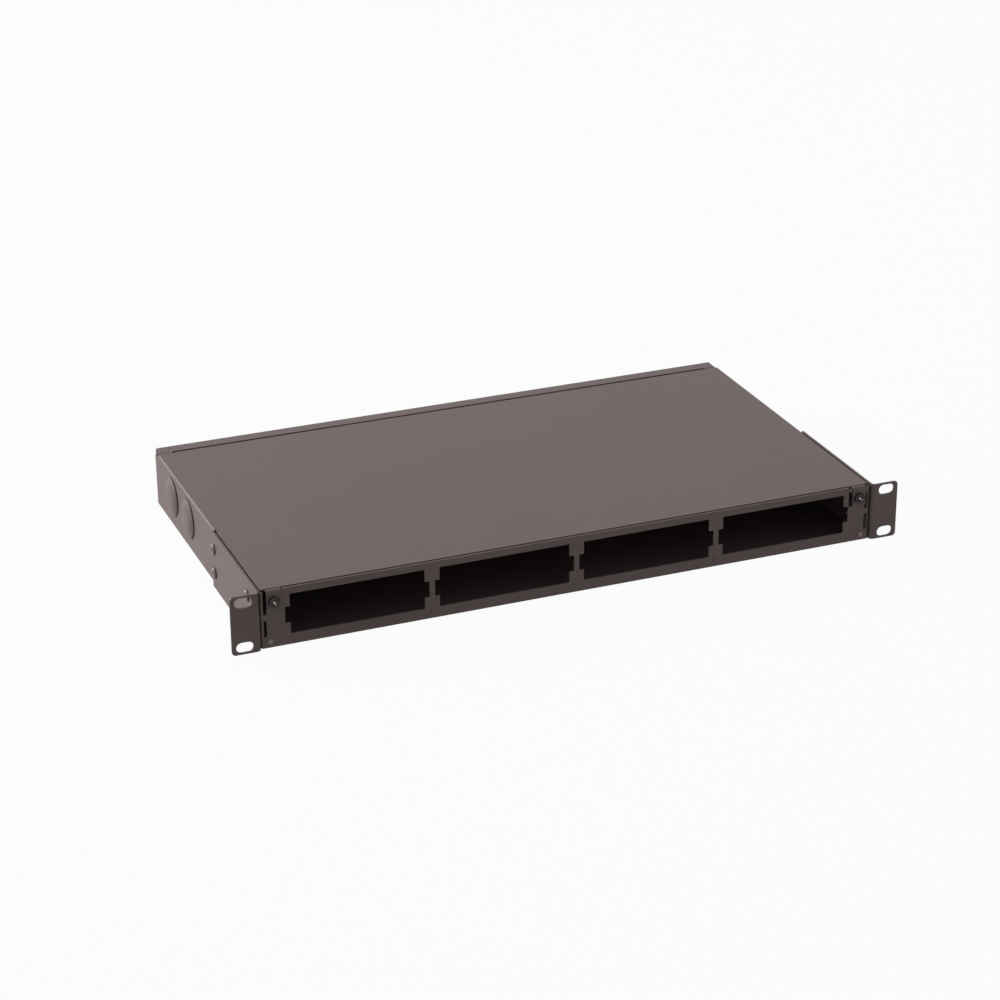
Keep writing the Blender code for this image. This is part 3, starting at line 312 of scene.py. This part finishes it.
def thread_rings(radius, start, stop, pitch):
    """Rings that rise and fall like the flanks of a thread, between two heights."""
    turns = max(1, round(abs(stop - start) / pitch))
    step = (stop - start) / turns
    rings = []
    for turn in range(turns):
        rings.append((radius, start + turn * step))
        rings.append((radius - 0.3 * pitch, start + (turn + 0.5) * step))
    rings.append((radius, stop))
    return rings


stud_low, stud_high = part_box("ground_stud")
stud_radius = (stud_high.x - stud_low.x) / 2
stud_top = stud_high.z - stud_low.z
stud_collar = 0.0015
thread_start = 0.0022
stud_pitch = 0.0010
point_height = 0.0008
point_taper = 0.0006
stud_rings = ([(stud_radius, 0), (stud_radius, stud_collar)]
              + thread_rings(stud_radius, thread_start, stud_top - point_height, stud_pitch)
              + [(stud_radius - point_taper, stud_top)])
stud_model = turned("stud_model", stud_rings, 32, zinc)
stud = stood(stud_model, "earth_stud", (middle("ground_stud").x, middle("ground_stud").y, stud_low.z),
             (0, 0, 1))
bpy.data.objects.remove(stud_model)
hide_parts("ground_stud")
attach(stud, "root")
for node, name in (("ground_washer", "earth_washer"), ("ground_nut", "earth_nut")):
    piece = dressed(node, name, zinc, 0.0003)
    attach(piece, "root")

# The slack spools, cable clips and their rivets. Moulded black nylon: each spool has a foot, a
# hub that keeps the fibre at a safe radius, and four fingers that stop its turns from rising.
nylon = surface("moulded_black_nylon", "#1A1A1C", "#232325", 0.0008, 0.48, 0.00002)
for side in ("left", "right"):
    spool = dressed(f"{side}_fiber_spool", f"{side}_slack_spool", nylon, 0.0003)
    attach(spool, "root")
for number in range(1, 5):
    clip = dressed(f"cable_clip_{number}", f"saddle_clip_{number}", nylon, 0.0002)
    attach(clip, "root")


def domed_rivets(model_name, names, finish, floor_z):
    """Low domed rivets that stand on a foot and reach down through the floor."""
    low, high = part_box(names[0])
    head = (high.x - low.x) / 2
    rise = high.z - floor_z
    shank = 0.0018
    rings = [(shank, low.z - floor_z), (shank, 0), (head, 0), (head, 0.25 * rise),
             (0.94 * head, 0.55 * rise), (0.78 * head, 0.80 * rise), (0.50 * head, 0.95 * rise),
             (0.15 * head, rise)]
    model = turned(model_name, rings, 28, finish)
    for node in names:
        rivet = stood(model, node.replace("rivet", "pin"),
                      (middle(node).x, middle(node).y, floor_z), (0, 0, 1))
        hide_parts(node)
        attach(rivet, "root")
    bpy.data.objects.remove(model)


rivet_head_height = 0.0014
spool_pins = [f"{side}_spool_rivet_{number}" for side in ("left", "right") for number in (1, 2)]
domed_rivets("spool_pin_model", spool_pins, nylon,
             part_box(spool_pins[0])[1].z - rivet_head_height)

# The tie brackets. Small zinc plated angles riveted to the floor beside the rear wall; their
# slots take the ties that hold an incoming cable.
for side in ("left", "right"):
    angle = dressed(f"{side}_tie_bracket", f"{side}_tie_angle", zinc, 0.0002)
    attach(angle, "root")
tie_pins = [f"{side}_tie_rivet_{number}" for side in ("left", "right") for number in (1, 2)]
domed_rivets("tie_pin_model", tie_pins, zinc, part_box(tie_pins[0])[1].z - rivet_head_height)

# The front panel. The same coated sheet, cut with four bays for adapter plates, slit beside both
# tabs of the cover and folded back along the tray; small rivets, the outer two of them plain
# zinc, tie it to the tray's front lip.
panel_low, panel_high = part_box("front_panel")
sheet = 0.0012
tab_middle = middle("right_cover_screw").x
tab_reach = 0.0049
slit_width = 0.0027
slit_height = 0.0143
under_tab = 0.0003
beyond = 0.0010
slits = []
for sign in (-1, 1):
    slit_end = sign * tab_middle - tab_reach + under_tab
    slits.append(((slit_end - slit_width, panel_low.y - beyond, panel_high.z - slit_height),
                  (slit_end, panel_low.y + 1.3 * sheet, panel_high.z + beyond)))
panel = dressed("front_panel", "bay_panel", coat, coat_edge, slits)
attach(panel, "root")
rivet_low, rivet_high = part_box("panel_rivet_1")
rivet_head = (rivet_high.x - rivet_low.x) / 2
rivet_length = rivet_high.y - rivet_low.y
cap = 0.0004
tail = 0.0010
tail_end = cap - rivet_length
rivet_shank = 0.0012
rivet_rings = [(0.6 * rivet_head, tail_end), (0.9 * rivet_head, tail_end + 0.2 * tail),
               (rivet_head, tail_end + 0.6 * tail), (rivet_head, tail_end + tail),
               (rivet_shank, tail_end + tail), (rivet_shank, 0), (rivet_head, 0),
               (0.92 * rivet_head, 0.5 * cap), (0.7 * rivet_head, 0.85 * cap), (0.3 * rivet_head, cap)]
rivet_model = turned("panel_rivet_model", rivet_rings, 24, coat)
outer_rivets = (1, 5)
rivet_zinc = surface("tumbled_zinc_rivet", "#524B49", "#7A7270", 0.0007, 0.34, 0.00002, metallic=1.0)
for number in range(1, 6):
    node = f"panel_rivet_{number}"
    rivet = stood(rivet_model, f"face_rivet_{number}",
                  (middle(node).x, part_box(node)[0].y + cap, middle(node).z), (0, -1, 0))
    if number in outer_rivets:
        rivet.data.materials[0] = rivet_zinc
    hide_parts(node)
    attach(rivet, "root")
bpy.data.objects.remove(rivet_model)

# The mounting brackets. Thicker 1.5 mm sheet bent to an angle and coated like the casing: an ear
# with two slots for the rack's screws, and a flange that is screwed to the side.
for side in ("left", "right"):
    bracket = dressed(f"{side}_mounting_bracket", f"{side}_rack_ear", coat, coat_edge)
    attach(bracket, "root")

# The screws. Steel pan heads with a cross recess, four through each bracket, in a lighter copy of the
# # cover screws' black plating, near the coat's own tone: painted light for the lit side. The cover's
# # two are black, with bright steel in their slots: a painted glint.
black_zinc = surface("black_zinc_plating", "#2A2727", "#3E3A3A", 0.0009, 0.20, 0.00002, metallic=1.0)
lit_side_zinc = surface("black_zinc_lightened_as_painted_light", "#584F4E", "#7C7270", 0.0009, 0.36, 0.00002, metallic=1.0)
# Bright bare steel for the faces of the cover screws' slots: a painted glint in the recess.
glint_steel = surface("painted_glint_steel", "#A8A29E", "#D8D3CE", 0.0006, 0.22, 0.00001, metallic=1.0)


def cross_head_screw(name, head_radius, head_height, shank_radius, shank_length, slot_depth, finish,
                     slot_finish):
    """A pan head on a threaded shank; two crossed slots are cut into the head with a Boolean,
    and their faces take the slot finish, which on the cover screws is bright steel: a painted glint."""
    tip = 0.0005
    plain_length = 0.0010
    pitch = 0.0007
    rings = [(shank_radius - tip, -shank_length), (shank_radius, tip - shank_length)]
    rings += thread_rings(shank_radius, tip - shank_length, -plain_length, pitch)[1:]
    rings += [(shank_radius, 0), (head_radius, 0), (head_radius, 0.34 * head_height),
              (0.985 * head_radius, 0.52 * head_height), (0.93 * head_radius, 0.70 * head_height),
              (0.83 * head_radius, 0.84 * head_height), (0.66 * head_radius, 0.95 * head_height),
              (0.45 * head_radius, head_height)]
    screw = turned(name, rings, 32, finish)
    screw.data.materials.append(slot_finish)
    slot_span = 0.0044
    slot_width = 0.0010
    for turn in (0, math.pi / 2):
        bpy.ops.object.select_all(action="DESELECT")
        bpy.ops.mesh.primitive_cube_add(size=1, location=(0, 0, head_height))
        blade = bpy.context.object
        blade.scale = (slot_span, slot_width, 2 * slot_depth)
        blade.rotation_euler.z = turn
        blade.data.materials.append(finish)
        blade.data.materials.append(slot_finish)
        for face in blade.data.polygons:
            face.material_index = 1
        bpy.ops.object.transform_apply(location=True, rotation=True, scale=True)
        bpy.ops.object.mode_set(mode="EDIT")
        bpy.ops.mesh.select_all(action="DESELECT")
        bpy.ops.object.mode_set(mode="OBJECT")
        for vertex in blade.data.vertices:
            vertex.select = vertex.co.z < head_height
        bpy.ops.object.mode_set(mode="EDIT")
        bpy.ops.transform.resize(value=(0.55, 0.55, 1), center_override=(0, 0, head_height))
        bpy.ops.object.mode_set(mode="OBJECT")
        take_off(screw, blade)
    bpy.ops.object.shade_smooth_by_angle(angle=math.radians(35))
    return screw


low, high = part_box("left_bracket_screw_front_lower")
screw_radius = (high.z - low.z) / 2
screw_shank = 0.00185
side_head = 0.0013
side_slot = 0.0009
# The bracket screws take the lighter copy of the black plating, painted light for the lit side.
side_screw_model = cross_head_screw("side_screw_model", screw_radius, side_head, screw_shank,
                                    high.x - low.x - side_head, side_slot, lit_side_zinc, lit_side_zinc)
turns = {"front_lower": 0.5, "front_upper": 1.1, "rear_lower": 0.2, "rear_upper": 0.8}
for side, sign in (("left", -1), ("right", 1)):
    for corner in corners:
        node = f"{side}_bracket_screw_{corner}"
        low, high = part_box(node)
        seat_x = high.x - side_head if sign > 0 else low.x + side_head
        screw = stood(side_screw_model, f"{side}_{corner}_screw",
                      (seat_x, middle(node).y, middle(node).z), (sign, 0, 0), turns[corner] + sign)
        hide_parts(node)
        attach(screw, "root")
bpy.data.objects.remove(side_screw_model)

# The top cover. Coated sheet with two skirts that stop short of the tray's corners, and a joggled
# tongue that hooks under the tray's strip. The line along the panel's top runs on across the two
# front tabs, where the cover is screwed to the panel.
cover_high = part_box("top_cover")[1]
rear_trim = 0.0057
corner_relief = 0.0020
line_width = 0.0012
line_depth = 0.0009
line_y = panel_low.y + sheet + line_width
line_reach = tab_reach + beyond
trims = []
for sign in (-1, 1):
    skin = sign * cover_high.x
    trims.append(((skin - sign * 2.5 * sheet, cover_high.y - rear_trim, -beyond),
                  (skin + sign * beyond, cover_high.y + beyond, cover_high.z - corner_relief)))
    trims.append(((sign * tab_middle - line_reach, line_y - line_width, cover_high.z - line_depth),
                  (sign * tab_middle + line_reach, line_y, cover_high.z + beyond)))
cover = dressed("top_cover", "folded_cover", coat, coat_edge, trims)
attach(cover, "cover")

# The knockouts. Round slugs, half sheared from the skirt by the punch and painted with it. The
# punch leaves them proud, with an undercut wall and a crowned face.
slug_low, slug_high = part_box("left_front_knockout")
slug_radius = (slug_high.z - slug_low.z) / 2
slug_height = slug_high.x - slug_low.x
rim_height = 0.92 * slug_height
rim_round = 0.0003
undercut = 0.0004
crown_width = 0.0092
crown_rise = 0.0018
crown_steps = 12
slug_rings = [(slug_radius, 0), (slug_radius, 0.48 * slug_height),
              (slug_radius - undercut, 0.56 * slug_height),
              (slug_radius, rim_height - 0.0002), (slug_radius - rim_round, rim_height)]
for step in range(1, crown_steps + 1):
    inwards = step / crown_steps
    slug_rings.append((slug_radius - rim_round - crown_width * inwards,
                       rim_height + crown_rise * (1 - (1 - inwards) ** 2)))
slug_model = turned("slug_model", slug_rings, 96, coat)
for side, sign in (("left", -1), ("right", 1)):
    for place in ("front", "rear"):
        node = f"{side}_{place}_knockout"
        low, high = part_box(node)
        inner_x = low.x if sign > 0 else high.x
        slug = stood(slug_model, f"{side}_{place}_slug",
                     (inner_x, middle(node).y, middle(node).z), (sign, 0, 0))
        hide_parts(node)
        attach(slug, "cover")
bpy.data.objects.remove(slug_model)

# The cover screws. The same cross-recessed screws with a taller, black plated head, one through
# each tab, each turned as the driver left it.
low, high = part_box("left_cover_screw")
cover_head = 0.0022
cover_slot = 0.0013
# The slot faces of these two take the bright steel, a painted glint in the recess.
cover_screw_model = cross_head_screw("cover_screw_model", (high.x - low.x) / 2, cover_head, screw_shank,
                                     high.y - low.y - cover_head, cover_slot, black_zinc, glint_steel)
for side, turn in (("left", 0.55), ("right", 0.95)):
    node = f"{side}_cover_screw"
    screw = stood(cover_screw_model, f"{side}_tab_screw",
                  (middle(node).x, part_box(node)[0].y + cover_head, middle(node).z), (0, -1, 0), turn)
    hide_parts(node)
    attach(screw, node)
bpy.data.objects.remove(cover_screw_model)

# The studio. A wide pale floor, a large soft light from the left and one from above, and very
# little light from the front, as in a product photograph on white.


def white_for_the_eye(tree, plain, sink, share):
    """Show white to the camera, to gloss and through glass, and the plain surface elsewhere."""
    rays = add_node(tree, "ShaderNodeLightPath")
    seen = add_node(tree, "ShaderNodeMath", {"operation": "MAXIMUM"},
                    {0: rays.outputs["Is Camera Ray"], 1: rays.outputs["Is Glossy Ray"]})
    either = add_node(tree, "ShaderNodeMath", {"operation": "MAXIMUM"},
                      {0: seen.outputs[0], 1: rays.outputs["Is Transmission Ray"]})
    part = add_node(tree, "ShaderNodeMath", {"operation": "MULTIPLY"}, {0: either.outputs[0], 1: share})
    white = add_node(tree, "ShaderNodeEmission", None, {"Color": (1, 1, 1, 1), "Strength": 1.0})
    both = add_node(tree, "ShaderNodeMixShader", None,
                    {0: part.outputs[0], 1: plain, 2: white.outputs[0]})
    tree.links.new(both.outputs[0], sink)


bpy.ops.object.select_all(action="DESELECT")
bpy.ops.mesh.primitive_plane_add(size=30, location=(0, 0, -0.0001))
floor = bpy.context.object
floor.name = "studio_floor"
paper = bpy.data.materials.new("white_paper_sweep")
paper.use_nodes = True
paper_shader = paper.node_tree.nodes["Principled BSDF"]
paper_shader.inputs["Base Color"].default_value = linear("#A6A6A6")
paper_shader.inputs["Roughness"].default_value = 0.9
white_for_the_eye(paper.node_tree, paper_shader.outputs[0],
                  paper.node_tree.nodes["Material Output"].inputs["Surface"], 0.96)
floor.data.materials.append(paper)

world = bpy.data.worlds.new("soft_room")
bpy.context.scene.world = world
world.use_nodes = True
room = world.node_tree.nodes["Background"]
room.inputs["Color"].default_value = (0.96, 0.98, 1.0, 1.0)
room.inputs["Strength"].default_value = 0.28
white_for_the_eye(world.node_tree, room.outputs[0],
                  world.node_tree.nodes["World Output"].inputs["Surface"], 1.0)

for name, place, width, power, tint in (
        ("left_softbox", (-1.35, 1.20, 0.70), 1.1, 34.0, (1.0, 0.965, 0.955)),
        ("top_softbox", (0.1, 0.5, 1.9), 1.6, 4.5, (1.0, 1.0, 1.0))):
    bpy.ops.object.light_add(type="AREA", location=place)
    softbox = bpy.context.object
    softbox.name = name
    softbox.data.size = width
    softbox.data.energy = power
    softbox.data.color = tint
    softbox.rotation_euler = (-Vector(place)).to_track_quat("-Z", "Y").to_euler()

# The camera. Read from the four rack slots, whose spacing is standard: a long lens a metre and
# three quarters away, left of the middle and above.
ear_face_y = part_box("left_mounting_bracket")[0].y
mid_height = middle("left_mounting_bracket").z
bpy.ops.object.camera_add(location=(-0.67009, ear_face_y - 1.5516, mid_height + 0.80202))
camera = bpy.context.object
look = Vector((0.33621, 0.84906, -0.40750))
roll = math.radians(-0.47)
camera.rotation_mode = "QUATERNION"
camera.rotation_quaternion = look.to_track_quat("-Z", "Y") @ Quaternion((0, 0, 1), roll)
camera.data.sensor_width = 36.0
camera.data.lens = 100.8
bpy.context.scene.camera = camera
bpy.context.scene.view_settings.view_transform = "Standard"
